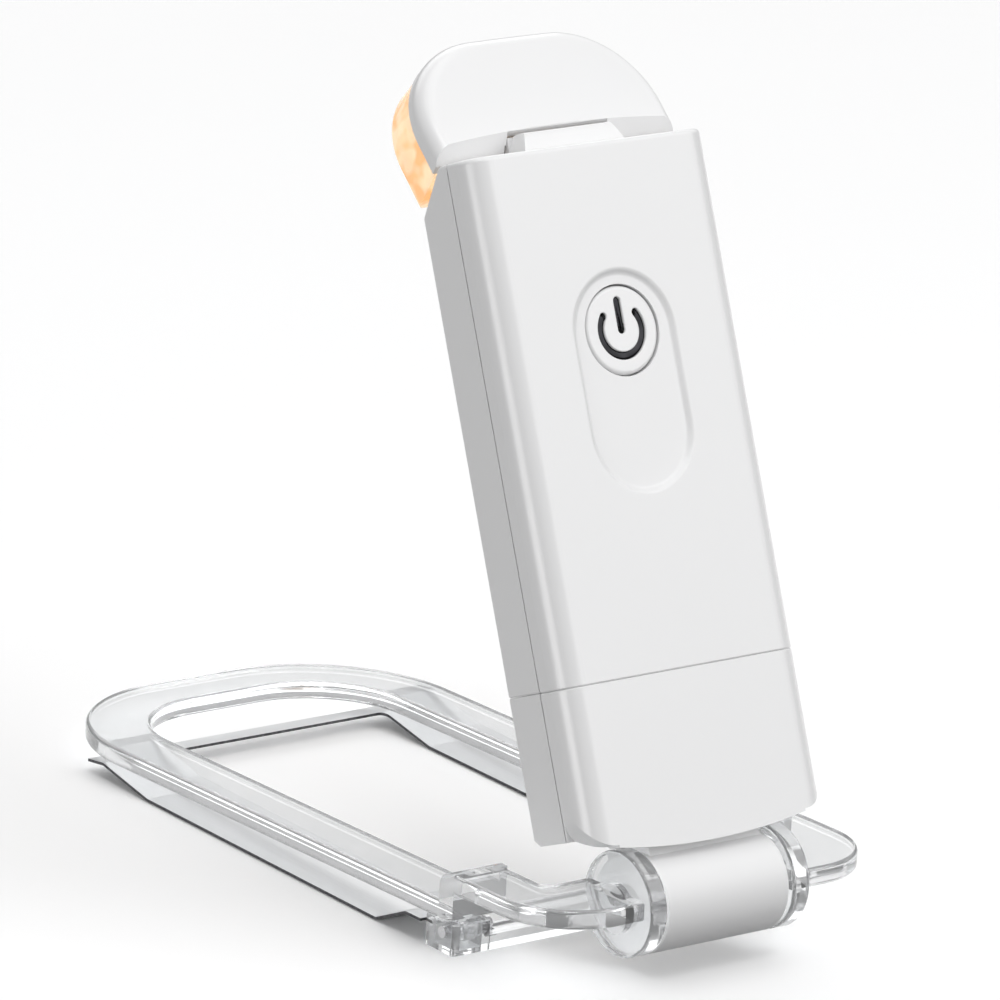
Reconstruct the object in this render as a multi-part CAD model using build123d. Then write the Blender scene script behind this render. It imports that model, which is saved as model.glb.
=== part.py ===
from build123d import *
import math
import os

os.makedirs("parts", exist_ok=True)

# ---------------------------------------------------------------------------
# Clip-on reading lamp, millimetres, +Z up.
# Origin: middle of the clip bar's underside. +X lies along the hinge pins,
# +Y runs from the hinges to the tip of the clip loop.
# ---------------------------------------------------------------------------

# Placing of the moving groups
BARREL_Y = -13.8          # barrel axis behind the clip hinge line
BARREL_Z = 7.1            # barrel axis above the surface the clip rests on
CLIP_SLOPE = 1.45         # degrees the loop slopes down to its tip
BODY_LEAN = 22.77         # degrees the body leans from upright, over the loop
HEAD_BEND = 25.7          # degrees the head bends forward from the body's line

# Lamp body (local frame: barrel axis at the origin, Z up the body, front at -Y)
BODY_W = 30.0
BODY_FRONT = 4.4
BODY_REAR = 5.2
FRONT_ROUND = 2.7
REAR_ROUND = 0.5
WALL = 1.4
SEAM_Y = -0.2
SEAM_GAP = 0.16
BASE_BOTTOM = 7.15        # rear part of the base housing's underside
BASE_DIP = 4.9            # lowest point of the front shell
PARTING = 22.0            # where the body leaves the base housing
PARTING_GAP = 0.03
PARTING_GROOVE = 0.13      # chamfer on both edges of the parting line
COLLAR = 0.55             # step under the body that sits inside the base
BODY_TOP = 74.6
SLANT_REAR_Z = 69.5       # lower end of the slanted cut behind the head
SLANT_TOP_Y = 0.88        # where the slanted cut meets the top

# Button and its recess
BUTTON_Z = 55.8
BUTTON_R = 4.45
BUTTON_GAP = 0.16
BUTTON_SUNK = 0.02
RECESS_W = 12.6
RECESS_TOP = 61.85
RECESS_BOTTOM = 39.6
RECESS_DEPTH = 0.42
RECESS_SLOPE = 0.4       # width of the sloped wall round the recess
ICON_R = 2.55
ICON_STROKE = 0.8
ICON_DEPTH = 0.4
INLAY_DEPTH = 0.2

# Plug
PLUG_W = 12.0
PLUG_T = 4.5
PLUG_TIP = 10.1
PLUG_ROOT = 26.0
PLUG_SKIN = 0.3

# Barrel, pin and ears
BARREL_R = 5.1
BARREL_HALF = 7.75
EAR_IN = 8.0
EAR_OUT = 10.1
EAR_R = 5.4
EAR_LIFT = 0.3            # ears stand a little above the barrel
BARREL_PIN_R = 1.25
BUSH_R = 2.2
RUN = 0.03                # radial running clearance

# Upper clip (local frame: barrel axis at the origin, before the slope)
CLIP_HALF = 21.6
ARM_W = 6.6
LOOP_TOP = -1.35
LOOP_T = 2.0
LOOP_FRONT = 85.5
LOOP_CORNER = 16.5
OPEN_FRONT = 78.9
OPEN_CORNER = 10.5
LEG_REAR = 11.4
LEG_FRONT = 13.7
PLATE_TOP = 1.75
PLATE_T = 2.0
PLATE_REAR = -4.2
PLATE_CORNER = 8.3
PLATE_INNER = 4.8

# Lower clip (world frame)
BLOCK_IN = 16.4
BLOCK_OUT = 21.2
BLOCK_Y = 2.4
BLOCK_TOP = 3.1
BAR_TOP = 1.6
BAR_FRONT = 0.6
PIVOT_Y = -0.45
PIVOT_Z = 2.0
JAW_PIN_R = 0.6
LUG_R = 1.2
LUG_IN = 17.8
LUG_OUT = 19.0
SLOT_IN = 17.5
SLOT_OUT = 20.2
JAW_OPEN = 12.0           # degrees
SHEET_T = 0.3

# Head (local frame: hinge axis at the origin, Z along the head, LEDs at +Y)
HEAD_AXIS_Y = 4.07        # in the body's frame
HEAD_AXIS_Z = 76.1
HEAD_HALF = 15.0
HEAD_FAR = 10.7
HEAD_CORNER = 10.0
CAP_RIM = -0.8
CAP_CROWN = -3.75
CROWN_ARCH = 180.0        # radius of the crown across the head
CAP_WALL = 1.2
LENS_FLOOR = 3.9
TONGUE_HALF = 6.2
TONGUE_FRONT = -1.7
TONGUE_TOP = 76.3
HEAD_PIN_R = 0.6

FAR = 200.0


# --- small helpers ---------------------------------------------------------

def block(x0, x1, y0, y1, z0, z1):
    """Box from its corner values."""
    mid = Pos((x0 + x1) / 2, (y0 + y1) / 2, (z0 + z1) / 2)
    return mid * Box(x1 - x0, y1 - y0, z1 - z0)


def rod_x(x0, x1, radius, y=0.0, z=0.0):
    """Cylinder along X."""
    return Pos((x0 + x1) / 2, y, z) * Rot(0, 90, 0) * Cylinder(radius, x1 - x0)


def prism_x(points, x0, x1):
    """Straight solid along X from (y, z) corners."""
    face = make_face(Polyline([(y, z) for y, z in points], close=True))
    plane = Plane(origin=(x0, 0, 0), x_dir=(0, 1, 0), z_dir=(1, 0, 0))
    return extrude(plane * face, x1 - x0)


def soften(solid, edges, radii):
    """Fillet the edges with the first radius that the shape accepts."""
    for radius in radii:
        try:
            rounded = fillet(edges, radius)
            if rounded.is_valid and rounded.volume > 0:
                return rounded
        except Exception:
            continue
    return solid


def lean(solid):
    """Body frame to the row frame."""
    return Pos(0, BARREL_Y, BARREL_Z) * Rot(-BODY_LEAN, 0, 0) * solid


def slope(solid):
    """Upper clip frame to the row frame."""
    return Pos(0, BARREL_Y, BARREL_Z) * Rot(-CLIP_SLOPE, 0, 0) * solid


def bend(solid):
    """Head frame to the row frame."""
    return lean(Pos(0, HEAD_AXIS_Y, HEAD_AXIS_Z) * Rot(-HEAD_BEND, 0, 0) * solid)


def save(name, shape):
    """Write one node; several solids stay separate in one file."""
    solids = shape.solids()
    whole = solids[0] if len(solids) == 1 else Compound(children=list(solids))
    whole.label = name
    export_step(whole, "parts/" + name + ".step")
    print(name, len(solids), round(sum(s.volume for s in solids), 1))


# --- lamp body and base housing ---------------------------------------------

def body_outline(inset=0.0):
    """Cross-section of the body: soft front edges, tighter rear edges."""
    depth = BODY_FRONT + BODY_REAR - 2 * inset
    middle = (BODY_REAR - BODY_FRONT) / 2
    face = Pos(0, middle) * Rectangle(BODY_W - 2 * inset, depth)
    rows = face.vertices().group_by(Axis.Y)
    face = fillet(rows[0], max(FRONT_ROUND - inset, 0.6))
    rows = face.vertices().group_by(Axis.Y)
    return fillet(rows[-1], max(REAR_ROUND - inset, 0.5))


def slant_cut(offset=0.0):
    """What the slanted top rear corner takes away; offset moves it inward."""
    run = BODY_REAR - SLANT_TOP_Y
    rise = BODY_TOP - SLANT_REAR_Z
    steep = rise / run
    drop = offset * math.hypot(run, rise) / run
    low_y = BODY_REAR + 4
    low_z = SLANT_REAR_Z - 4 * steep
    top_y = SLANT_TOP_Y - 4
    top_z = BODY_TOP + 4 * steep
    points = [(low_y, low_z - drop), (low_y, top_z), (top_y, top_z - drop)]
    return prism_x(points, -BODY_W, BODY_W)


def body_shell():
    """Whole hollow of the lamp body, before it is parted at the seam."""
    z0 = PARTING + PARTING_GAP / 2
    outer = Pos(0, 0, z0) * extrude(body_outline(), BODY_TOP - z0)
    outer = outer - slant_cut()
    bottom_edges = outer.edges().filter_by_position(Axis.Z, z0 - 0.001, z0 + 0.001)
    outer = chamfer(bottom_edges, PARTING_GROOVE)
    top_edges = outer.edges().filter_by_position(Axis.Z, BODY_TOP - 0.01, BODY_TOP + 0.01)
    outer = soften(outer, top_edges, (0.5, 0.35, 0.2))
    inner = Pos(0, 0, z0 + WALL) * extrude(body_outline(WALL), BODY_TOP - z0 - 2 * WALL)
    inner = inner - slant_cut(WALL)
    collar = Pos(0, 0, PARTING - COLLAR) * extrude(body_outline(0.95), COLLAR + 0.2)
    plug_hole = block(-PLUG_W / 2, PLUG_W / 2, -PLUG_T / 2, PLUG_T / 2, z0 - 1, z0 + 3)
    return outer + collar - inner - plug_hole


def recess_stadium(inset, y):
    """Stadium round the button, drawn on a plane across the body at y."""
    width = RECESS_W - 2 * inset
    length = RECESS_TOP - RECESS_BOTTOM - 2 * inset
    centre = (RECESS_TOP + RECESS_BOTTOM) / 2
    plane = Plane(origin=(0, y, centre), x_dir=(1, 0, 0), z_dir=(0, 1, 0))
    return plane * (Rot(0, 0, 90) * SlotOverall(length, width))


def recess_cut():
    """Shallow dish with sloped walls around and below the button."""
    mouth = extrude(recess_stadium(0, -BODY_FRONT - 1), 1)
    dish = loft([recess_stadium(0, -BODY_FRONT), recess_stadium(RECESS_SLOPE, -BODY_FRONT + RECESS_DEPTH)])
    return mouth + dish


def rod_y(radius, y0, y1, x=0.0, z=0.0):
    """Cylinder along Y."""
    return Pos(x, (y0 + y1) / 2, z) * Rot(90, 0, 0) * Cylinder(radius, y1 - y0)


def front_cover(shell):
    part = shell & block(-FAR, FAR, -FAR, SEAM_Y - SEAM_GAP / 2, 0, FAR)
    floor_y = -BODY_FRONT + RECESS_DEPTH
    half = RECESS_W / 2 + 0.3
    part = part + extrude(recess_stadium(-1.3, -BODY_FRONT + 1), 0.9)
    part = part - recess_cut()
    rim = part.edges().filter_by(GeomType.CIRCLE) + part.edges().filter_by(GeomType.LINE)
    rim = rim.filter_by_position(Axis.Z, RECESS_BOTTOM - 1, RECESS_TOP + 1)
    rim = [e for e in rim if abs(e.center().X) < half]
    upper = [e for e in rim if abs(e.center().Y + BODY_FRONT) < 0.01]
    part = soften(part, upper, (0.5, 0.35, 0.2))
    low = [e for e in part.edges() if abs(e.center().Y - floor_y) < 0.01 and abs(e.center().X) < half]
    part = soften(part, low, (0.5, 0.35, 0.2))
    part = part - rod_y(BUTTON_R + BUTTON_GAP, -BODY_FRONT - 1, 0, z=BUTTON_Z)
    # slot in the top wall that holds the root of the hinge tongue
    return part - block(-TONGUE_HALF, TONGUE_HALF, TONGUE_FRONT - 0.1, 3, BODY_TOP - 4, BODY_TOP + 1)


def rear_cover(shell):
    part = shell & block(-FAR, FAR, SEAM_Y + SEAM_GAP / 2, FAR, 0, FAR)
    z0 = PARTING + WALL + 1
    lip_high = BODY_TOP - WALL - 1
    rim = extrude(body_outline(WALL + 0.05), lip_high - z0) - extrude(body_outline(WALL + 0.8), lip_high - z0)
    rim = Pos(0, 0, z0) * rim & block(-FAR, FAR, SEAM_Y - 1.0, SEAM_Y + 2.4, 0, FAR)
    rim = rim - slant_cut(WALL)
    part = part + rim
    for x in (-9.5, 9.5):
        part = part - rod_y(1.5, BODY_REAR - 0.7, BODY_REAR + 1, x=x, z=64)
        part = part - rod_y(0.7, 0, BODY_REAR + 1, x=x, z=64)
    return part - block(-TONGUE_HALF, TONGUE_HALF, -3, 3.0, BODY_TOP - 4, BODY_TOP + 1)


def housing_screws():
    screws = []
    for x in (-9.5, 9.5):
        head = rod_y(1.4, BODY_REAR - 0.68, BODY_REAR - 0.1, x=x, z=64)
        cross = block(x - 0.9, x + 0.9, BODY_REAR - 0.4, BODY_REAR, 63.85, 64.15)
        cross = cross + block(x - 0.15, x + 0.15, BODY_REAR - 0.4, BODY_REAR, 63.1, 64.9)
        shank = rod_y(0.7, 1.2, BODY_REAR - 0.68, x=x, z=64)
        screws.append(head - cross + shank)
    return screws


def hinge_tongue():
    """Knuckle between the body and the head, clamped in the top wall."""
    brow = TONGUE_FRONT + 0.7
    cheek = [(TONGUE_FRONT, BODY_TOP - 2.6), (TONGUE_FRONT, BODY_TOP + 0.3), (brow, TONGUE_TOP + 0.3),
             (0.3, TONGUE_TOP + 0.3), (1.3, TONGUE_TOP), (2.7, TONGUE_TOP),
             (HEAD_AXIS_Y - 0.5, HEAD_AXIS_Z + 1.09), (HEAD_AXIS_Y + 0.2, HEAD_AXIS_Z - 1.18),
             (1.6, BODY_TOP - 0.4), (0.8, BODY_TOP - 2.6)]
    web = prism_x(cheek, -TONGUE_HALF, TONGUE_HALF)
    front_edges = [e for e in web.edges().filter_by(Axis.X)
                   if abs(e.center().Y - brow) < 0.05 and abs(e.center().Z - TONGUE_TOP - 0.3) < 0.05]
    web = soften(web, front_edges, (0.5, 0.3))
    knuckle = rod_x(-TONGUE_HALF, TONGUE_HALF, 1.2, HEAD_AXIS_Y, HEAD_AXIS_Z)
    bore = rod_x(-FAR, FAR, HEAD_PIN_R + RUN, HEAD_AXIS_Y, HEAD_AXIS_Z)
    side = []
    for s in (-1, 1):
        wedge = Pos(s * (TONGUE_HALF + 2.45), 0, BODY_TOP + 0.9) * Rot(0, s * -24, 0) * Box(5, 12, 8)
        side.append(wedge & block(-FAR, FAR, -3, 0.9, BODY_TOP + 0.05, FAR))
    tongue = web + knuckle - bore
    for wedge in side:
        tongue = tongue - wedge
    return tongue


def button():
    """Round cap with a soft edge, a retaining flange and a stem."""
    face_y = -BODY_FRONT + RECESS_DEPTH + BUTTON_SUNK
    cap = rod_y(BUTTON_R, face_y, -2.6, z=BUTTON_Z)
    rim = cap.edges().filter_by_position(Axis.Y, face_y - 0.01, face_y + 0.01)
    cap = soften(cap, rim, (0.4, 0.25))
    flange = rod_y(BUTTON_R + 0.9, -2.5, -2.1, z=BUTTON_Z)
    neck = rod_y(BUTTON_R - 0.4, -2.65, -2.1, z=BUTTON_Z)
    stem = rod_y(0.9, -2.2, -1.95, z=BUTTON_Z)
    whole = cap + neck + flange + stem - power_sign(face_y - 0.1, face_y + ICON_DEPTH)
    edge = [e for e in whole.edges() if abs(e.center().Y - face_y) < 0.01
            and math.hypot(e.center().X, e.center().Z - BUTTON_Z) < BUTTON_R - 1.0]
    return soften(whole, edge, (0.12, 0.08))


def power_sign(y0, y1):
    """Open ring and bar, the usual on/off sign, from y0 to y1."""
    half = ICON_STROKE / 2
    ring = Circle(ICON_R + half) - Circle(ICON_R - half)
    spread = math.radians(52)
    gap = make_face(Polyline([(0, 0), (8 * math.sin(spread), 8 * math.cos(spread)),
                              (-8 * math.sin(spread), 8 * math.cos(spread))], close=True))
    ring = ring - gap
    for s in (-1, 1):
        ring = ring + Pos(s * ICON_R * math.sin(spread), ICON_R * math.cos(spread)) * Circle(half)
    bar = Pos(0, 1.5) * SlotOverall(3.7, ICON_STROKE * 1.08, rotation=90)
    plane = Plane(origin=(0, y1, BUTTON_Z), x_dir=(1, 0, 0), z_dir=(0, -1, 0))
    return extrude(plane * (ring + bar), y1 - y0)


def power_icon():
    """Dark inlay on the bottom of the sign's groove."""
    floor_y = -BODY_FRONT + RECESS_DEPTH + BUTTON_SUNK + ICON_DEPTH
    return power_sign(floor_y - INLAY_DEPTH, floor_y)


def main_board():
    board = block(-11.5, 11.5, -0.4, 0.4, PLUG_ROOT + 0.3, 70.0)
    board = board - block(-TONGUE_HALF - 0.6, TONGUE_HALF + 0.6, -1, 1, 69, 74)
    for x in (-9.5, 9.5):
        board = board - rod_y(1.2, -1, 1, x=x, z=64)
    return board


def board_chips():
    chips = [block(-4, 1, -1.3, -0.4, 31, 36), block(4, 7, -1.2, -0.4, 32, 34)]
    chips.append(block(-8, -5.5, -1.2, -0.4, 40, 43))
    for i in range(4):
        chips.append(block(3 + 1.8 * i, 4.2 + 1.8 * i, -0.9, -0.4, 38, 38.7))
    return chips


def tact_switch():
    case = block(-2.25, 2.25, -1.45, -0.4, BUTTON_Z - 2.25, BUTTON_Z + 2.25)
    return case - rod_y(1.0, -1.5, -1.0, z=BUTTON_Z)


def switch_plunger():
    return rod_y(0.85, -1.95, -1.35, z=BUTTON_Z)


def usb_shell():
    outer = block(-PLUG_W / 2, PLUG_W / 2, -PLUG_T / 2, PLUG_T / 2, PLUG_TIP, PLUG_ROOT)
    outer = soften(outer, outer.edges().filter_by(Axis.Z), (0.5,))
    t = PLUG_SKIN
    inner = block(-PLUG_W / 2 + t, PLUG_W / 2 - t, -PLUG_T / 2 + t, PLUG_T / 2 - t,
                  PLUG_TIP - 1, PLUG_ROOT + 1)
    shell = outer - inner
    for x in (-3.1, 3.1):
        for y in (-PLUG_T / 2, PLUG_T / 2):
            shell = shell - block(x - 1.2, x + 1.2, y - 0.5, y + 0.5, PLUG_TIP + 4.6, PLUG_TIP + 6.8)
    return shell


def usb_insulator():
    t = PLUG_SKIN
    tongue = block(-PLUG_W / 2 + t, PLUG_W / 2 - t, -PLUG_T / 2 + t, -0.1, PLUG_TIP + 0.4, PLUG_ROOT)
    back = block(-PLUG_W / 2 + t, PLUG_W / 2 - t, -PLUG_T / 2 + t, PLUG_T / 2 - t, PARTING, PLUG_ROOT)
    part = tongue + back
    for i in range(4):
        x = -3.5 + 7.0 / 3 * i
        part = part - block(x - 0.6, x + 0.6, -0.3, 0.2, PLUG_TIP + 1.2, PLUG_TIP + 9.4)
    return part


def usb_contacts():
    strips = []
    for i in range(4):
        x = -3.5 + 7.0 / 3 * i
        strips.append(block(x - 0.5, x + 0.5, -0.3, 0.0, PLUG_TIP + 1.4, PLUG_TIP + 9.2))
    return strips


def base_shell_whole():
    """Base housing with its dipped front edge, hollow for the plug socket."""
    z1 = PARTING - PARTING_GAP / 2
    low = BASE_DIP - 1
    outer = Pos(0, 0, low) * extrude(body_outline(), z1 - low)
    top_edges = outer.edges().filter_by_position(Axis.Z, z1 - 0.001, z1 + 0.001)
    outer = chamfer(top_edges, PARTING_GROOVE)
    rear_under = [(-0.6, BASE_BOTTOM), (-BODY_FRONT, BASE_DIP), (-9, BASE_DIP - 2.7), (-9, -5), (9, -5),
                  (9, BASE_BOTTOM + 0.9), (BODY_REAR, BASE_BOTTOM + 0.9), (BODY_REAR - 1.2, BASE_BOTTOM)]
    outer = outer - prism_x(rear_under, -FAR, FAR)
    # the underside's edge rises towards both sides in one shallow arc
    half = BODY_W / 2 + 1
    rise = 1.75
    radius = (half * half + rise * rise) / (2 * rise)
    arc = ThreePointArc((-half, BASE_DIP + rise), (0, BASE_DIP), (half, BASE_DIP + rise))
    under = make_face([arc, Line((half, BASE_DIP + rise), (half, -5)), Line((half, -5), (-half, -5)),
                       Line((-half, -5), (-half, BASE_DIP + rise))])
    plane = Plane(origin=(0, -FAR / 2, 0), x_dir=(1, 0, 0), z_dir=(0, -1, 0))
    outer = outer - extrude(plane * under, -FAR)
    corner = block(BODY_W / 2 - 3.2, BODY_W, -FAR, -0.5, -5, BASE_DIP + 4.4)
    corner = corner - rod_y(3.2, -FAR, 0, x=BODY_W / 2 - 3.2, z=BASE_DIP + 4.4)
    outer = outer - corner - mirror(corner, Plane.YZ)
    inner = Pos(0, 0, BASE_BOTTOM + 1.2) * extrude(body_outline(1.2), z1 - BASE_BOTTOM)
    inner = inner & block(-8.9, 8.9, -3.2, 3.4, 0, FAR)
    seat = Pos(0, 0, PARTING - COLLAR - 0.1) * extrude(body_outline(0.85), 5)
    neck_hole = block(-7.0, 7.0, -2.6, 2.6, 0, BASE_BOTTOM + 2)
    return outer - inner - seat - neck_hole


def base_front_shell(shell):
    return shell & block(-FAR, FAR, -FAR, SEAM_Y - SEAM_GAP / 2, -5, FAR)


def base_rear_shell(shell):
    return shell & block(-FAR, FAR, SEAM_Y + SEAM_GAP / 2, FAR, -5, FAR)


def socket_liner():
    """Sleeve that guards the plug when the body is seated."""
    outer = block(-8.8, 8.8, -3.15, 3.35, 9.5, PARTING - COLLAR - 0.2)
    gap = 0.2
    pocket = block(-PLUG_W / 2 - gap, PLUG_W / 2 + gap, -PLUG_T / 2 - gap, PLUG_T / 2 + gap, 9.9, FAR)
    return outer - pocket


def barrel():
    """White barrel and neck; the neck's flange is trapped in the base housing."""
    tube = rod_x(-BARREL_HALF, BARREL_HALF, BARREL_R)
    ends = tube.edges().filter_by(GeomType.CIRCLE)
    tube = soften(tube, ends, (0.35, 0.2))
    neck = block(-7.0, 7.0, -2.6, 2.6, 2.0, BASE_BOTTOM + 1.2)
    flange = block(-8.6, 8.6, -3.0, 3.0, BASE_BOTTOM + 1.2, BASE_BOTTOM + 2.2)
    return tube + neck + flange - rod_x(-FAR, FAR, BUSH_R)


def barrel_bushes():
    rings = []
    for s in (-1, 1):
        ring = rod_x(min(s * 2.5, s * BARREL_HALF), max(s * 2.5, s * BARREL_HALF), BUSH_R)
        rings.append(ring - rod_x(-FAR, FAR, BARREL_PIN_R + RUN))
    return rings


# --- upper clip ---------------------------------------------------------------

def loop_plate():
    """Flat loop the pages go under: two arms and a rounded front bar."""
    back = LEG_REAR
    outer = Pos(0, (back + LOOP_FRONT) / 2) * Rectangle(2 * CLIP_HALF, LOOP_FRONT - back)
    outer = fillet(outer.vertices().group_by(Axis.Y)[-1], LOOP_CORNER)
    inner_half = CLIP_HALF - ARM_W
    inner = Pos(0, (back - 1 + OPEN_FRONT) / 2) * Rectangle(2 * inner_half, OPEN_FRONT - back + 1)
    inner = fillet(inner.vertices().group_by(Axis.Y)[-1], OPEN_CORNER)
    plate = Pos(0, 0, LOOP_TOP - LOOP_T) * extrude(outer - inner, LOOP_T)
    rims = plate.edges().filter_by_position(Axis.Z, LOOP_TOP - 0.01, LOOP_TOP + 0.01)
    rims = rims + plate.edges().filter_by_position(Axis.Z, LOOP_TOP - LOOP_T - 0.01, LOOP_TOP - LOOP_T + 0.01)
    rims = [e for e in rims if e.center().Y > back + 0.5]
    return soften(plate, rims, (0.45, 0.3))


def rear_plate():
    """D-shaped plate that carries the ears."""
    outer = Pos(0, (PLATE_REAR + LEG_FRONT) / 2) * Rectangle(2 * CLIP_HALF, LEG_FRONT - PLATE_REAR)
    outer = fillet(outer.vertices().group_by(Axis.Y)[0], PLATE_CORNER)
    inner_half = CLIP_HALF - ARM_W + 0.4
    depth = LEG_FRONT + 2 - PLATE_INNER
    inner = Pos(0, PLATE_INNER + depth / 2) * Rectangle(2 * inner_half, depth)
    inner = fillet(inner.vertices().group_by(Axis.Y)[0], 1.2)
    plate = Pos(0, 0, PLATE_TOP - PLATE_T) * extrude(outer - inner, PLATE_T)
    low = PLATE_TOP - PLATE_T
    rims = plate.edges().filter_by_position(Axis.Z, PLATE_TOP - 0.01, PLATE_TOP + 0.01)
    rims = rims + plate.edges().filter_by_position(Axis.Z, low - 0.01, low + 0.01)
    rims = [e for e in rims if e.center().Y < LEG_FRONT - 0.3]
    plate = soften(plate, rims, (0.4, 0.25))
    return plate - rod_x(-EAR_IN, EAR_IN, BARREL_R + 0.6)


def upper_clip():
    parts = loop_plate() + rear_plate()
    inner_half = CLIP_HALF - ARM_W
    for s in (-1, 1):
        x0, x1 = sorted((s * inner_half, s * CLIP_HALF))
        leg = block(x0, x1, LEG_REAR, LEG_FRONT, LOOP_TOP - LOOP_T, PLATE_TOP)
        tops = [e for e in leg.edges().filter_by(Axis.X)
                if e.center().Y > LEG_FRONT - 0.1 and e.center().Z > PLATE_TOP - 0.1]
        leg = soften(leg, tops, (1.6, 1.2))
        crown = block(x0, x1, LEG_FRONT - 1.6, LEG_FRONT + 1, PLATE_TOP - 1.6, PLATE_TOP + 1)
        crown = crown - rod_x(x0 - 1, x1 + 1, 1.6, LEG_FRONT - 1.6, PLATE_TOP - 1.6)
        parts = parts + leg - crown
        ear_in, ear_out = sorted((s * EAR_IN, s * EAR_OUT))
        ear = rod_x(ear_in, ear_out, EAR_R, 0, EAR_LIFT)
        ear = soften(ear, ear.edges().filter_by(GeomType.CIRCLE), (0.3,))
        boss_in, boss_out = sorted((s * EAR_OUT, s * (EAR_OUT + 0.8)))
        parts = parts + ear + rod_x(boss_in, boss_out, 2.6)
    parts = parts - rod_x(-EAR_OUT, EAR_OUT, BARREL_PIN_R)
    clip = slope(parts)
    # underside of each leg, cut back so that it clears its block as the jaw opens
    tan_open = math.tan(math.radians(JAW_OPEN + 0.5))
    high = BLOCK_TOP + 0.3 + (BLOCK_Y + 2.3 + PIVOT_Y) * tan_open
    under = [(PIVOT_Y + 0.3, BLOCK_TOP + 0.3), (-BLOCK_Y - 2, high),
             (-BLOCK_Y - 2, 0), (PIVOT_Y + 0.3, 0)]
    clip = clip - prism_x(under, -FAR, FAR)
    for s in (-1, 1):
        x0, x1 = sorted((s * LUG_IN, s * LUG_OUT))
        lug = rod_x(x0, x1, LUG_R, PIVOT_Y, PIVOT_Z)
        lug = lug + block(x0, x1, PIVOT_Y - LUG_R, PIVOT_Y + LUG_R, PIVOT_Z, BLOCK_TOP + 0.9)
        clip = clip + lug
    return clip - rod_x(-FAR, FAR, JAW_PIN_R + RUN, PIVOT_Y, PIVOT_Z)


def barrel_pin():
    return rod_x(-EAR_OUT, EAR_OUT, BARREL_PIN_R)


# --- lower clip ---------------------------------------------------------------

def clip_base():
    """Clear crossbar with a hollow block at each end for the hinge lug and spring."""
    bar = block(-BLOCK_IN - 0.2, BLOCK_IN + 0.2, -BLOCK_Y, BAR_FRONT, 0, BAR_TOP)
    whole = bar
    for s in (-1, 1):
        x0, x1 = sorted((s * BLOCK_IN, s * BLOCK_OUT))
        body = block(x0, x1, -BLOCK_Y, BLOCK_Y, 0, BLOCK_TOP)
        body = soften(body, body.edges().filter_by(Axis.Z), (0.5, 0.3))
        a, b = sorted((s * SLOT_IN, s * SLOT_OUT))
        slot = block(a, b, -1.95, 1.05, 0.45, FAR)
        c, d = sorted((s * (BLOCK_IN + 0.5), s * (BLOCK_OUT - 0.5)))
        slit = block(c, d, 1.35, FAR, 2.18, 2.28 + SHEET_T)
        e, f = sorted((s * (BLOCK_IN - 1.2), s * BLOCK_IN))
        head_room = rod_x(e, f, 1.0, PIVOT_Y, PIVOT_Z)
        whole = whole + body - slot - slit - head_room
    return whole - rod_x(-FAR, FAR, JAW_PIN_R, PIVOT_Y, PIVOT_Z)


def jaw_sheet():
    """Bent spring sheet under the loop: two rails and a flared front strip."""
    line = [(1.4, 2.25), (5.0, 2.2), (9.7, 0.0), (49.0, 0.0), (57.0, 1.4), (59.7, 1.05)]
    top = [(y, z + SHEET_T) for y, z in reversed(line)]
    solid = prism_x(line + top, -CLIP_HALF, CLIP_HALF)
    bends = [e for e in solid.edges().filter_by(Axis.X) if 4 < e.center().Y < 58]
    solid = soften(solid, bends, (0.9, 0.6, 0.35))
    inner_half = CLIP_HALF - ARM_W
    hole = Pos(0, 26.8) * Rectangle(2 * inner_half, 60.4)
    hole = fillet(hole.vertices().group_by(Axis.Y)[-1], 1.0)
    solid = solid - extrude(Pos(0, 0, -1) * hole, 6)
    for s in (-1, 1):
        for a, b in ((0, BLOCK_IN + 0.5), (BLOCK_OUT - 0.5, FAR)):
            x0, x1 = sorted((s * a, s * b))
            solid = solid - block(x0, x1, 0, BLOCK_Y + 0.15, 0, 5)
    return solid


def jaw_pins():
    pins = []
    for s in (-1, 1):
        x0, x1 = sorted((s * BLOCK_IN, s * BLOCK_OUT))
        shank = rod_x(x0, x1, JAW_PIN_R, PIVOT_Y, PIVOT_Z)
        h0, h1 = sorted((s * (BLOCK_IN - 1.0), s * BLOCK_IN))
        pins.append(shank + rod_x(h0, h1, 0.8, PIVOT_Y, PIVOT_Z))
    return pins


def jaw_springs():
    """Torsion springs coiled on the jaw pins beside the lugs."""
    springs = []
    wire = 0.14
    for s in (-1, 1):
        start = LUG_OUT + 0.3
        coil = Helix(0.3, 0.6, 0.9, center=(0, 0, 0), direction=(0, 0, 1))
        profile = Plane(origin=coil @ 0, z_dir=coil % 0) * Circle(wire)
        body = sweep(profile, path=coil)
        body = Pos(s * start, PIVOT_Y, PIVOT_Z) * Rot(0, s * 90, 0) * body
        springs.append(body)
    return springs


# --- head ---------------------------------------------------------------------

def head_outline(inset, near):
    """Head seen from its crown: straight at the hinge, wide curves at the tip."""
    half = HEAD_HALF - inset
    far = HEAD_FAR - inset
    face = Pos(0, (near + far) / 2) * Rectangle(2 * half, far - near)
    return fillet(face.vertices().group_by(Axis.Y)[-1], HEAD_CORNER - inset)


def head_slab(inset, near, y0, y1):
    plane = Plane(origin=(0, y1, 0), x_dir=(1, 0, 0), z_dir=(0, -1, 0))
    return extrude(plane * head_outline(inset, near), y1 - y0)


def crown_arch(inset):
    """Long round bar that gives the crown its gentle arch across the head."""
    radius = CROWN_ARCH - inset
    return Pos(0, CAP_CROWN + CROWN_ARCH, 0) * Cylinder(radius, 60)


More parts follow.
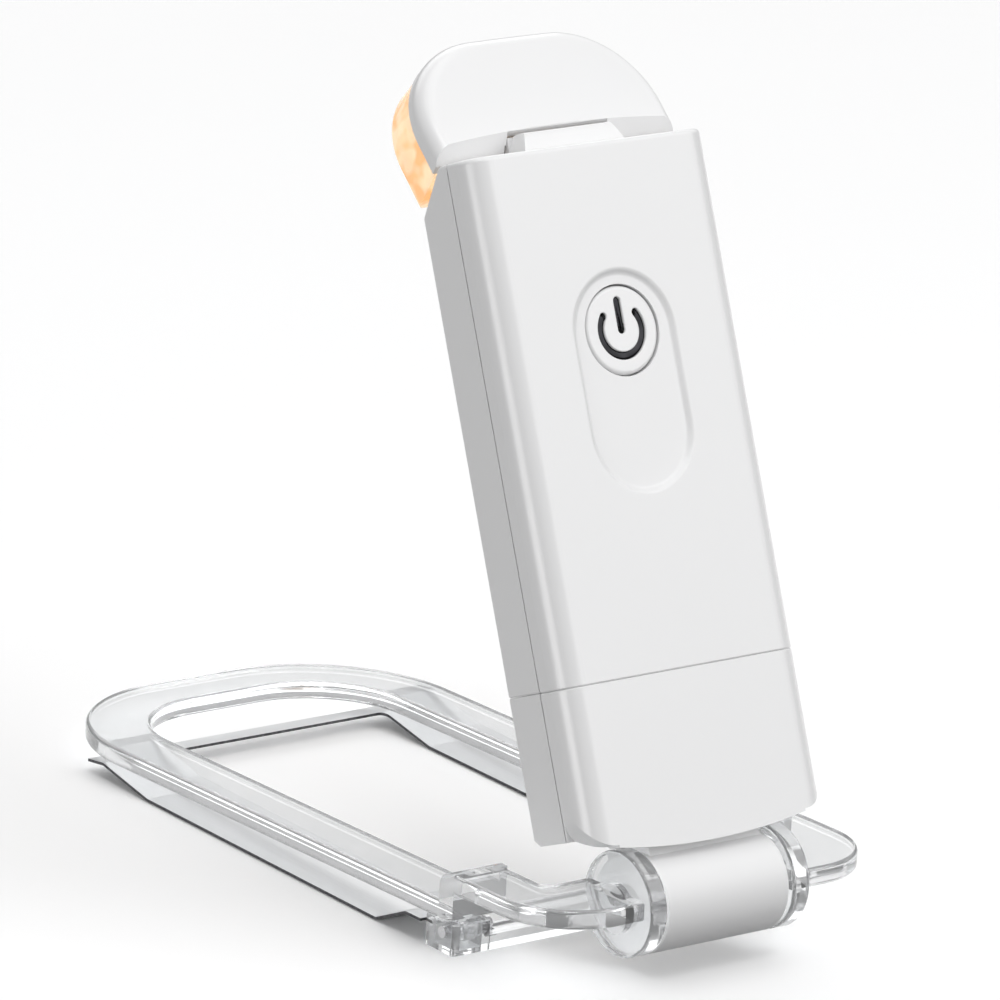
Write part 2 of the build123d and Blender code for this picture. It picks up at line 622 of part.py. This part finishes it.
def near_end_cut(offset=0.0):
    """Takes away what lies beyond the head's hinge end, which follows the slant."""
    line = [(CAP_CROWN - 3, 1.6), (CAP_CROWN, -0.6), (-1.6, -2.45), (0.0, -3.05), (1.4, -3.35),
            (2.6, -3.72), (LENS_FLOOR + 3, -3.68)]
    points = [(y, z + offset) for y, z in line]
    points = points + [(LENS_FLOOR + 3, -12), (CAP_CROWN - 3, -12)]
    return prism_x(points, -FAR, FAR)


def tongue_slot():
    """Gap between the hinge ears that the body's tongue stands in."""
    half = TONGUE_HALF + 0.3
    slot = block(-half, half, CAP_CROWN + CAP_WALL, 3.0, -9, 2.6)
    return slot + block(-half + 0.2, half - 0.2, CAP_CROWN - 3, 0.0, -9, -0.7)


def hinge_ears(grow=0.0):
    """Ears either side of the tongue; grow makes the pockets they sit in."""
    ears = []
    for s in (-1, 1):
        x0, x1 = sorted((s * (TONGUE_HALF + 0.3), s * (TONGUE_HALF + 2.4 + grow)))
        eye = rod_x(x0, x1, 1.3 + grow)
        root = block(x0, x1, -1.3 - grow, 0.0, -0.4, 1.4)
        ears.append(eye + root)
    return ears


def head_cap():
    """White outer shell of the head, open towards the lens."""
    near = -8.0
    outer = head_slab(0.0, near, CAP_CROWN, CAP_RIM) & crown_arch(0.0)
    crown = outer.faces().sort_by(Axis.Y)[0]
    round_edges = [e for e in crown.edges() if e.center().Z > near + 0.1]
    outer = soften(outer, round_edges, (1.8, 1.6, 1.3, 1.0))
    outer = outer - near_end_cut()
    inner = head_slab(CAP_WALL, near, CAP_CROWN + CAP_WALL, CAP_RIM + 1) & crown_arch(CAP_WALL)
    inner = inner - near_end_cut(CAP_WALL * 1.2)
    cap = outer - inner - tongue_slot()
    for pocket in hinge_ears(0.03):
        cap = cap - pocket
    return cap


def head_lens():
    """Clear cover over the LEDs."""
    near = -8.0
    outer = head_slab(0.2, near, CAP_RIM, LENS_FLOOR)
    floor_edges = outer.edges().filter_by_position(Axis.Y, LENS_FLOOR - 0.01, LENS_FLOOR + 0.01)
    floor_edges = [e for e in floor_edges if e.center().Z > near + 0.1]
    outer = soften(outer, floor_edges, (0.8, 0.5))
    outer = outer - near_end_cut()
    inner = head_slab(1.4, near, CAP_RIM - 1, LENS_FLOOR - 1.2) - near_end_cut(1.1)
    lens = outer - inner - tongue_slot()
    for pocket in hinge_ears(0.03):
        lens = lens - pocket
    return lens


def head_chassis():
    """Inner carrier of the LED board, with the two hinge ears."""
    plate = head_slab(2.6, -8.0, -1.7, -1.0) & block(-FAR, FAR, -3, 3, 2.9, FAR)
    arms = [block(x - 0.9, x + 0.9, -1.7, -1.0, 0.0, 3.0) for x in (-8.0, 8.0)]
    for ear in list(hinge_ears()) + arms:
        plate = plate + ear
    return plate - rod_x(-FAR, FAR, HEAD_PIN_R)


def led_board():
    return head_slab(1.8, -8.0, -0.9, -0.1) & block(-FAR, FAR, -3, 3, 2.9, FAR)


def leds():
    chips = []
    for row in (4.2, 7.2):
        count = 6 if row < 5 else 5
        for i in range(count):
            x = (i - (count - 1) / 2) * 4.0
            chips.append(block(x - 1.1, x + 1.1, -0.1, 0.6, row - 1.1, row + 1.1))
    return chips


def head_pin():
    half = TONGUE_HALF + 2.4
    return rod_x(-half, half, HEAD_PIN_R)


# --- write the nodes ------------------------------------------------------------

def together(pieces):
    return Compound(children=list(pieces))


def main():
    shell = body_shell()
    base = base_shell_whole()
    in_body = {
        "front_cover": front_cover(shell), "rear_cover": rear_cover(shell),
        "housing_screws": together(housing_screws()), "hinge_tongue": hinge_tongue(),
        "main_board": main_board(), "board_chips": together(board_chips()),
        "battery_cell": block(-11, 11, 0.6, 3.0, 30, 60), "tact_switch": tact_switch(),
        "switch_plunger": switch_plunger(), "power_button": button(), "power_icon": power_icon(),
        "usb_shell": usb_shell(), "usb_insulator": usb_insulator(), "usb_contacts": together(usb_contacts()),
        "base_front_shell": base_front_shell(base), "base_rear_shell": base_rear_shell(base),
        "socket_liner": socket_liner(), "barrel": barrel(), "barrel_bushes": together(barrel_bushes()),
    }
    in_head = {
        "head_cap": head_cap(), "head_lens": head_lens(), "head_chassis": head_chassis(),
        "led_board": led_board(), "leds": together(leds()), "head_pin": head_pin(),
    }
    in_row = {
        "upper_clip": upper_clip(), "barrel_pin": slope(barrel_pin()), "clip_base": clip_base(),
        "jaw_sheet": jaw_sheet(), "jaw_pins": together(jaw_pins()), "jaw_springs": together(jaw_springs()),
    }
    for name, shape in in_body.items():
        save(name, lean(shape))
    for name, shape in in_head.items():
        save(name, bend(shape))
    for name, shape in in_row.items():
        save(name, shape)


main()
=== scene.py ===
"""Looks for the clip-on reading lamp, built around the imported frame."""

import math

import bpy
from mathutils import Matrix, Vector


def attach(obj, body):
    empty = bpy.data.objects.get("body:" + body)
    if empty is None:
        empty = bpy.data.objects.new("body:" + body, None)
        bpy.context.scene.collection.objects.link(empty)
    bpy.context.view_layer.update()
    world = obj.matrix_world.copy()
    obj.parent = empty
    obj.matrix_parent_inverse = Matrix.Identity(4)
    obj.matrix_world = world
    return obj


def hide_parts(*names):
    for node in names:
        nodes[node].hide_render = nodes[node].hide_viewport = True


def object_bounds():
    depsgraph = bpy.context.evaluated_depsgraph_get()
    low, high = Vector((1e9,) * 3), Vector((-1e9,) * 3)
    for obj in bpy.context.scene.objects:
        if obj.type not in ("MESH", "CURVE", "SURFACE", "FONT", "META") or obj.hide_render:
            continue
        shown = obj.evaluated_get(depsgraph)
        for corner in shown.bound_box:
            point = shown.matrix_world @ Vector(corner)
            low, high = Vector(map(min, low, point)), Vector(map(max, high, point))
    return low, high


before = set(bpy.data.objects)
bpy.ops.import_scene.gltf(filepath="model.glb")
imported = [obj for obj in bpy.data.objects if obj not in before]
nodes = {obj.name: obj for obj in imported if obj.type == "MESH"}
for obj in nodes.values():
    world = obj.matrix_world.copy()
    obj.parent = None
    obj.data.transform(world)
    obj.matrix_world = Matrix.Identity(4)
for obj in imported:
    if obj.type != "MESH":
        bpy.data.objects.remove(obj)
cad_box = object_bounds()

MM = 0.001
BODY_LEAN = math.radians(22.77)    # the body's lean from upright, at rest

# Faces picked by this threshold get the near-black painted shade of the sheared edge.
STRIP_FACE_MIN_UP = 0.6   # a strip face whose normal rises less than this is a sheared edge
SIGN_STRETCH = 4.0        # times its own thickness, while the sign's edges are rounded
SIGN_EDGE_WIDTH = 0.36 * MM
SIGN_EDGE_SEGMENTS = 6
SIGN_EDGE_ANGLE = math.radians(50)
SIGN_WELD = 0.01 * MM


# ---------------------------------------------------------------------------
# Material helpers
# ---------------------------------------------------------------------------

class Shader:
    """A node material with one Principled shader and short calls to wire it."""

    def __init__(self, name):
        self.material = bpy.data.materials.new(name)
        self.material.use_nodes = True
        self.tree = self.material.node_tree
        self.tree.nodes.clear()
        self.output = self.node("ShaderNodeOutputMaterial")
        self.surface = self.node("ShaderNodeBsdfPrincipled")
        self.link(self.surface, "BSDF", self.output, "Surface")
        self.coords = self.node("ShaderNodeTexCoord")

    def node(self, kind):
        return self.tree.nodes.new(kind)

    def link(self, source, out_name, target, in_name):
        self.tree.links.new(source.outputs[out_name], target.inputs[in_name])

    def set(self, **values):
        """Sets sockets on the Principled shader; underscores stand for spaces."""
        for key, value in values.items():
            self.surface.inputs[key.replace("_", " ")].default_value = value

    def noise(self, scale, detail=3.0, stretch=(1, 1, 1)):
        """Noise in object space; scale is in cycles per metre."""
        mapping = self.node("ShaderNodeMapping")
        mapping.inputs["Scale"].default_value = stretch
        self.link(self.coords, "Object", mapping, "Vector")
        noise = self.node("ShaderNodeTexNoise")
        noise.inputs["Scale"].default_value = scale
        noise.inputs["Detail"].default_value = detail
        self.link(mapping, "Vector", noise, "Vector")
        return noise

    def tint(self, source, dark, light, start=0.35, stop=0.65):
        """Colour that drifts between two tones."""
        ramp = self.node("ShaderNodeValToRGB")
        ramp.color_ramp.elements[0].position = start
        ramp.color_ramp.elements[0].color = (*dark, 1)
        ramp.color_ramp.elements[1].position = stop
        ramp.color_ramp.elements[1].color = (*light, 1)
        self.link(source, "Fac", ramp, "Fac")
        self.link(ramp, "Color", self.surface, "Base Color")
        return ramp

    def rough(self, source, low, high):
        """Roughness that drifts from low to high over the noise's middle range."""
        ranged = self.node("ShaderNodeMapRange")
        ranged.inputs["From Min"].default_value = 0.3
        ranged.inputs["From Max"].default_value = 0.7
        ranged.inputs["To Min"].default_value = low
        ranged.inputs["To Max"].default_value = high
        self.link(source, "Fac", ranged, "Value")
        self.link(ranged, "Result", self.surface, "Roughness")

    def bump(self, source, depth_mm, strength, out_name="Fac"):
        """Bump whose height is given in millimetres."""
        bump = self.node("ShaderNodeBump")
        bump.inputs["Strength"].default_value = strength
        bump.inputs["Distance"].default_value = depth_mm * MM
        self.link(source, out_name, bump, "Height")
        self.link(bump, "Normal", self.surface, "Normal")

    def lamps_pass(self, colour):
        """Lets lamps shine through clear plastic instead of casting a black shadow."""
        path = self.node("ShaderNodeLightPath")
        clear = self.node("ShaderNodeBsdfTransparent")
        clear.inputs["Color"].default_value = (*colour, 1)
        mix = self.node("ShaderNodeMixShader")
        self.link(path, "Is Shadow Ray", mix, "Fac")
        _, seen, for_lamps = mix.inputs
        self.tree.links.new(self.surface.outputs["BSDF"], seen)
        self.tree.links.new(clear.outputs["BSDF"], for_lamps)
        self.link(mix, "Shader", self.output, "Surface")


def white_plastic(name, light=0.80, grain=0.0010, rough=(0.30, 0.33), coat=0.35):
    """Satin white moulded plastic with a fine eroded grain."""
    s = Shader(name)
    cloud = s.noise(60, detail=1)
    tone = light * 0.992
    s.tint(cloud, (tone, tone, tone * 1.002), (light, light, light * 1.004), 0.2, 0.8)
    s.rough(s.noise(900, detail=1), *rough)
    s.bump(s.noise(5200, detail=1), grain, 0.5)
    s.set(IOR=1.5, Coat_Weight=coat, Coat_Roughness=0.22)
    return s.material


def clear_plastic(name):
    """Polished clear polycarbonate with faint moulding flow in its surface."""
    s = Shader(name)
    s.set(Transmission_Weight=0.92, IOR=1.56)
    haze = s.noise(220, detail=2)
    s.rough(haze, 0.01, 0.035)
    s.tint(haze, (0.85, 0.86, 0.865), (0.89, 0.895, 0.90))
    s.bump(s.noise(140, detail=2, stretch=(1, 0.35, 1)), 0.003, 0.5)
    s.lamps_pass((0.93, 0.935, 0.94))
    return s.material


def spring_steel(name):
    """Bright rolled strip with fine lines along its length."""
    s = Shader(name)
    lines = s.noise(700, detail=2, stretch=(6, 0.05, 6))
    s.tint(lines, (0.60, 0.605, 0.61), (0.63, 0.635, 0.64))
    s.rough(lines, 0.34, 0.40)
    s.bump(lines, 0.0003, 0.4)
    s.set(Metallic=1.0)
    return s.material


def sheared_steel_painted_shade(name):
    """Sheared edge of the strip, with the cut's vertical drag lines; its near-black tone is
    painted shade.
    """
    s = Shader(name)
    drag = s.noise(2600, detail=2, stretch=(1, 1, 0.1))
    # Near-black tone: painted shade on the edge faces.
    s.tint(drag, (0.05, 0.05, 0.055), (0.12, 0.12, 0.125))
    s.rough(drag, 0.35, 0.5)
    s.bump(drag, 0.003, 0.6)
    s.set(Metallic=0.7)
    return s.material


def plated_steel(name):
    """Turned and plated pins and screws, and the plug's skin."""
    s = Shader(name)
    tone = 0.66
    turned = s.noise(2600, detail=3, stretch=(8, 1, 1))
    s.tint(turned, (tone * 0.88, tone * 0.88, tone * 0.9), (tone, tone, tone * 1.02))
    s.rough(turned, 0.16, 0.30)
    s.bump(turned, 0.0015, 0.6)
    s.set(Metallic=1.0)
    return s.material


def dark_inlay(name):
    """Smoked chrome inlay of the on/off sign."""
    s = Shader(name)
    smoke = s.noise(500, detail=2)
    s.tint(smoke, (0.012, 0.012, 0.013), (0.024, 0.024, 0.026))
    s.rough(s.noise(2500), 0.08, 0.13)
    s.bump(s.noise(900, detail=1), 0.003, 0.5)
    s.set(Metallic=1.0)
    return s.material


def solder_mask(name):
    """Green lacquer of the circuit boards."""
    s = Shader(name)
    s.tint(s.noise(420, detail=4), (0.012, 0.085, 0.035), (0.03, 0.15, 0.07))
    s.rough(s.noise(1500), 0.3, 0.45)
    s.bump(s.noise(1800), 0.01, 0.5)
    return s.material


def moulded_black(name):
    """Black plastic of chips and switch."""
    s = Shader(name)
    s.tint(s.noise(900), (0.012, 0.012, 0.013), (0.03, 0.03, 0.032))
    s.rough(s.noise(1800), 0.45, 0.6)
    s.bump(s.noise(5000), 0.004, 0.5)
    return s.material


def moulded_grey(name, tone):
    """Plain plastic of the inner parts, in a grey from 0 to 1."""
    s = Shader(name)
    s.tint(s.noise(300), (tone * 0.95,) * 3, (tone,) * 3)
    s.rough(s.noise(1500), 0.4, 0.55)
    s.bump(s.noise(4000), 0.003, 0.5)
    return s.material


def gold_plate(name):
    """Gilt contacts of the plug."""
    s = Shader(name)
    s.tint(s.noise(1200), (0.72, 0.48, 0.16), (0.86, 0.62, 0.25))
    s.rough(s.noise(3000), 0.18, 0.3)
    s.bump(s.noise(4000), 0.001, 0.5)
    s.set(Metallic=1.0)
    return s.material


def cell_foil(name):
    """Creased foil of the battery pouch."""
    s = Shader(name)
    s.tint(s.noise(200, detail=3), (0.45, 0.46, 0.48), (0.6, 0.61, 0.63))
    s.rough(s.noise(800), 0.25, 0.45)
    s.bump(s.noise(350, detail=3), 0.03, 0.6)
    s.set(Metallic=0.9)
    return s.material


def lit_phosphor(name):
    """Warm glowing phosphor of an LED."""
    s = Shader(name)
    grain = s.noise(2500, detail=3)
    ramp = s.tint(grain, (1.0, 0.60, 0.20), (1.0, 0.76, 0.36))
    s.link(ramp, "Color", s.surface, "Emission Color")
    s.rough(grain, 0.4, 0.6)
    s.bump(grain, 0.01, 0.5)
    s.set(Emission_Strength=0.35)
    return s.material


def lens_with_painted_glow(name):
    """Clear lens with small pyramid facets; its warm glow is painted on as emission, with orange
    spots painted as the LEDs' light seen through it, and the same amber painted into its base
    colour.
    """
    s = Shader(name)
    # The emission is painted glow: the lens itself is no lamp.
    s.set(Transmission_Weight=0.5, IOR=1.5, Emission_Strength=0.16)
    # Orange and cream spots of painted glow; the same ramp also tints the base colour and the
    # noise also varies the roughness.
    painted_glow_spots = s.noise(430, detail=1)
    ramp = s.tint(painted_glow_spots, (0.96, 0.62, 0.33), (1.0, 0.89, 0.69), 0.42, 0.58)
    s.link(ramp, "Color", s.surface, "Emission Color")
    s.rough(painted_glow_spots, 0.14, 0.24)
    facets = s.node("ShaderNodeTexVoronoi")
    facets.distance = "CHEBYCHEV"
    facets.inputs["Scale"].default_value = 900
    facets.inputs["Randomness"].default_value = 0.0
    s.link(s.coords, "Object", facets, "Vector")
    s.bump(facets, 0.12, 0.5, out_name="Distance")
    s.lamps_pass((1.0, 0.93, 0.8))
    return s.material


# ---------------------------------------------------------------------------
# Finishes of the CAD nodes
# ---------------------------------------------------------------------------

FINISHES = {
    "white": ["front_cover", "rear_cover", "hinge_tongue", "base_front_shell", "base_rear_shell"],
    "satin": ["power_button", "head_cap"],
    "matt": ["barrel"],
    "clear": ["upper_clip", "clip_base"],
    "lens": ["head_lens"],
    "strip": ["jaw_sheet"],
    "plated": ["housing_screws", "usb_shell", "head_pin", "barrel_pin", "jaw_pins", "jaw_springs"],
    "inlay": ["power_icon"],
    "mask": ["main_board", "led_board"],
    "black": ["board_chips", "tact_switch", "switch_plunger"],
    "grey": ["socket_liner", "barrel_bushes", "head_chassis"],
    "pale": ["usb_insulator"],
    "gold": ["usb_contacts"],
    "foil": ["battery_cell"],
    "phosphor": ["leds"],
}


def make_materials():
    """The scene's materials, under the finish keys."""
    return {
        "white": white_plastic("white_moulded"),
        "satin": white_plastic("white_satin", light=0.82, grain=0.0006, rough=(0.28, 0.30)),
        "matt": white_plastic("white_matt", light=0.82, rough=(0.50, 0.56), coat=0.0),
        "clear": clear_plastic("clear_clip"),
        "lens": lens_with_painted_glow("clear_lens"),
        "strip": spring_steel("spring_steel"),
        "edge": sheared_steel_painted_shade("sheared_edge_painted_shade"),
        "plated": plated_steel("plated_steel"),
        "inlay": dark_inlay("icon_inlay"),
        "mask": solder_mask("solder_mask"),
        "black": moulded_black("moulded_black"),
        "grey": moulded_grey("inner_grey", 0.66),
        "pale": moulded_grey("plug_white", 0.8),
        "gold": gold_plate("contact_gold"),
        "foil": cell_foil("cell_foil"),
        "phosphor": lit_phosphor("led_phosphor"),
    }


def finish_nodes(materials):
    """Gives every CAD node its finish."""
    for key, names in FINISHES.items():
        for name in names:
            for slot in nodes[name].material_slots:
                slot.material = materials[key]


# ---------------------------------------------------------------------------
# Pieces made from the CAD nodes' own shapes
# ---------------------------------------------------------------------------

def copy_of(node, name):
    """New object with the node's mesh in world space, ready to be refined."""
    source = nodes[node]
    mesh = source.data.copy()
    mesh.transform(source.matrix_world)
    mesh.name = name
    copy = bpy.data.objects.new(name, mesh)
    bpy.context.scene.collection.objects.link(copy)
    return copy


def bake(piece):
    """Applies the piece's modifiers to its mesh."""
    depsgraph = bpy.context.evaluated_depsgraph_get()
    mesh = bpy.data.meshes.new_from_object(piece.evaluated_get(depsgraph))
    piece.modifiers.clear()
    piece.data = mesh


def make_strip(materials):
    """Steel strip of the jaw: rolled faces, and sheared edges in a near-black tone that is painted
    shade.
    """
    strip = copy_of("jaw_sheet", "jaw_strip")
    strip.data.materials.clear()
    strip.data.materials.append(materials["strip"])
    strip.data.materials.append(materials["edge"])
    # Sideways faces are the sheared edges and get the near-black painted shade.
    for face in strip.data.polygons:
        face.material_index = 1 if abs(face.normal.z) < STRIP_FACE_MIN_UP else 0
    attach(strip, "clip_base")
    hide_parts("jaw_sheet")


def make_sign(materials):
    """Sign inlay with a round top, so that it catches light like a bent wire."""
    sign = copy_of("power_icon", "sign_inlay")
    sign.data.materials.clear()
    sign.data.materials.append(materials["inlay"])
    outward = Vector((0, -math.cos(BODY_LEAN), math.sin(BODY_LEAN)))
    stretch = Matrix.Scale(SIGN_STRETCH, 4, outward)
    sign.data.transform(stretch)
    weld = sign.modifiers.new("weld", "WELD")
    weld.merge_threshold = SIGN_WELD
    bevel = sign.modifiers.new("bevel", "BEVEL")
    bevel.width = SIGN_EDGE_WIDTH
    bevel.segments = SIGN_EDGE_SEGMENTS
    bevel.use_clamp_overlap = False
    bevel.limit_method = "ANGLE"
    bevel.angle_limit = SIGN_EDGE_ANGLE
    bake(sign)
    sign.data.transform(stretch.inverted())
    for face in sign.data.polygons:
        face.use_smooth = True
    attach(sign, "power_button")
    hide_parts("power_icon")


# ---------------------------------------------------------------------------
# Floor, light and camera
# ---------------------------------------------------------------------------

CAMERA_AZIMUTH = -38.88       # degrees; 0 looks along +Y
CAMERA_ELEVATION = 17.19      # degrees above the floor
CAMERA_ROLL = 4.0             # degrees
CAMERA_DISTANCE = 0.83534     # metres from the point it aims at
CAMERA_AIM = (-0.00711, 0.01260, 0.04106)
CAMERA_LENS = 302.4           # mm, on a sensor 36 mm wide
CAMERA_SENSOR = 36
CAMERA_CLIP = (0.01, 20)      # metres

FLOOR_HALF = 3.0              # metres
FLOOR_GAP = 0.1 * MM          # keeps the floor clear of the clip's underside
LAMP_MIDDLE = (0, 0.01, 0.04)

# name, azimuth and elevation in degrees, distance and size in metres, power in watts
SOFTBOXES = [
    ("key", 36, 33, 1.1, (0.9, 0.9), 6.2),
    ("top", 0, 88, 1.2, (1.2, 1.2), 4.3),
    ("glint", -28, 64, 1.0, (0.22, 0.22), 1.1),
    ("rear", 165, 35, 1.3, (1.4, 0.7), 4),
    ("edge", -74, 5, 0.8, (0.42, 0.25), 1.95),
]

# direction that the sky brightens along, and stops of (cosine of the angle to it, tone)
MATT_SKY = ((0.75, 0.15, 0.65), [(0.0, 0.19), (0.9, 0.48)])
GLOSS_SKY = ((0.0, 0.0, 1.0), [(0.0, 0.06), (0.18, 0.13), (0.42, 0.85), (1.0, 0.90)])
MIX_COLOUR_A = 6              # sockets of a Mix node that is set to colours
MIX_COLOUR_B = 7
MIX_COLOUR_OUT = 2


def view_axes(azimuth, elevation):
    """Right, up and back vectors of a view."""
    a, e = math.radians(azimuth), math.radians(elevation)
    back = Vector((math.sin(a) * math.cos(e), -math.cos(a) * math.cos(e), math.sin(e)))
    right = Vector((math.cos(a), math.sin(a), 0))
    return right, back.cross(right), back


def add_camera():
    """Camera at the place and roll set above, aimed at CAMERA_AIM."""
    right, up, back = view_axes(CAMERA_AZIMUTH, CAMERA_ELEVATION)
    roll = math.radians(CAMERA_ROLL)
    side = right * math.cos(roll) + up * math.sin(roll)
    top = up * math.cos(roll) - right * math.sin(roll)
    data = bpy.data.cameras.new("camera")
    data.lens = CAMERA_LENS
    data.sensor_width = CAMERA_SENSOR
    data.clip_start, data.clip_end = CAMERA_CLIP
    camera = bpy.data.objects.new("camera", data)
    bpy.context.scene.collection.objects.link(camera)
    place = Matrix((side, top, back)).transposed().to_4x4()
    place.translation = Vector(CAMERA_AIM) + back * CAMERA_DISTANCE
    camera.matrix_world = place
    bpy.context.scene.camera = camera


def add_softbox(name, azimuth, elevation, distance, size, power):
    """White area light aimed at the lamp's middle from a direction around it."""
    _, _, back = view_axes(azimuth, elevation)
    data = bpy.data.lights.new(name, "AREA")
    data.shape = "RECTANGLE"
    data.size, data.size_y = size
    data.energy = power
    box = bpy.data.objects.new(name, data)
    bpy.context.scene.collection.objects.link(box)
    box.location = Vector(LAMP_MIDDLE) + back * distance
    box.rotation_euler = back.to_track_quat("Z", "Y").to_euler()


def add_floor():
    """Pale floor; matt surfaces get the surround's light in its place, not its bounce."""
    half = FLOOR_HALF
    mesh = bpy.data.meshes.new("floor")
    corners = [(-half, -half, 0), (half, -half, 0), (half, half, 0), (-half, half, 0)]
    mesh.from_pydata(corners, [], [(0, 1, 2, 3)])
    floor = bpy.data.objects.new("floor", mesh)
    bpy.context.scene.collection.objects.link(floor)
    floor.location.z = cad_box[0][2] - FLOOR_GAP
    s = Shader("floor")
    s.tint(s.noise(3), (0.95, 0.95, 0.95), (0.97, 0.97, 0.97))
    s.rough(s.noise(8), 0.6, 0.7)
    floor.data.materials.append(s.material)
    floor.visible_diffuse = False


def add_world():
    """Soft grey surround for matt surfaces, a brighter one seen in gloss and clear plastic."""
    world = bpy.data.worlds.new("world")
    bpy.context.scene.world = world
    world.use_nodes = True
    tree = world.node_tree
    tree.nodes.clear()
    coords = tree.nodes.new("ShaderNodeTexCoord")
    path = tree.nodes.new("ShaderNodeLightPath")
    mix = tree.nodes.new("ShaderNodeMix")
    mix.data_type = "RGBA"
    sky = tree.nodes.new("ShaderNodeBackground")
    out = tree.nodes.new("ShaderNodeOutputWorld")

    def ramp_along(direction, stops):
        """Grey by the cosine of the angle to a direction: 0 is 90 degrees or more off it."""
        aim = tree.nodes.new("ShaderNodeVectorMath")
        aim.operation = "DOT_PRODUCT"
        aim.inputs[1].default_value = Vector(direction).normalized()
        tree.links.new(coords.outputs["Generated"], aim.inputs[0])
        ramp = tree.nodes.new("ShaderNodeValToRGB")
        while len(ramp.color_ramp.elements) < len(stops):
            ramp.color_ramp.elements.new(0.5)
        for element, (place, tone) in zip(ramp.color_ramp.elements, stops):
            element.position = place
            element.color = (tone, tone, tone * 1.005, 1)
        tree.links.new(aim.outputs["Value"], ramp.inputs[0])
        return ramp

    matt = ramp_along(*MATT_SKY)
    gloss = ramp_along(*GLOSS_SKY)
    tree.links.new(path.outputs["Is Diffuse Ray"], mix.inputs["Factor"])
    tree.links.new(gloss.outputs["Color"], mix.inputs[MIX_COLOUR_A])
    tree.links.new(matt.outputs["Color"], mix.inputs[MIX_COLOUR_B])
    tree.links.new(mix.outputs[MIX_COLOUR_OUT], sky.inputs["Color"])
    tree.links.new(sky.outputs["Background"], out.inputs["Surface"])


materials = make_materials()
finish_nodes(materials)
make_strip(materials)
make_sign(materials)
add_floor()
add_world()
for softbox in SOFTBOXES:
    add_softbox(*softbox)
add_camera()
bpy.context.scene.view_settings.view_transform = "Standard"
